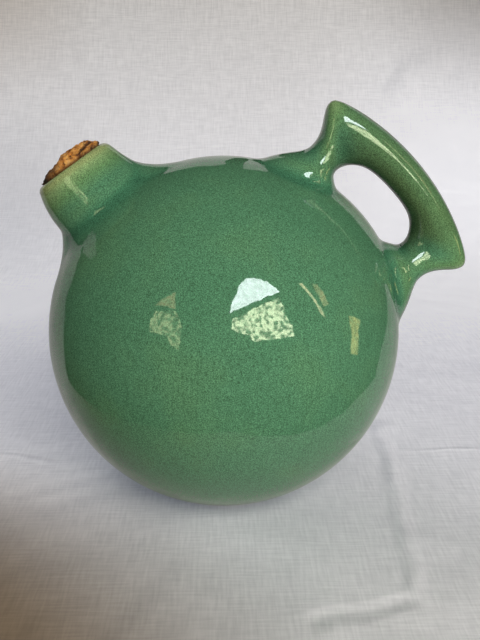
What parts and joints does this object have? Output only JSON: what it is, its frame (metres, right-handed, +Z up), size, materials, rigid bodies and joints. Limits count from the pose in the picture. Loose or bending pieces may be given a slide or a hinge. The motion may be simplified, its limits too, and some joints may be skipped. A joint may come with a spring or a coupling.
{
  "type": "ball jug",
  "caption": "Ball-shaped glazed pottery jug with a tilted spout, a removable cork stopper and an upright loop handle.",
  "frame": {"origin": "middle of the foot's underside, on the surface that the jug stands on", "axes": "+Z up, +X from the spout's side towards the handle's side, +Y away from the picture's viewer"},
  "size_m": [0.2102, 0.1756, 0.1996],
  "materials": {
    "green_glaze": "high gloss green glaze",
    "bare_clay": "dry unglazed clay",
    "natural_cork": "cut and broken natural cork"
  },
  "bodies": {
    "jug": {"ball_body": "green_glaze", "foot": "bare_clay", "spout": "green_glaze", "handle": "green_glaze"},
    "cork": {"cork_stopper": "natural_cork"}
  },
  "joints": [
    {"name": "cork_slide", "type": "slide", "parent": "jug", "child": "cork", "axis": [-0.5693, 0, 0.8221], "range_m": [0, 0.06]}
  ]
}
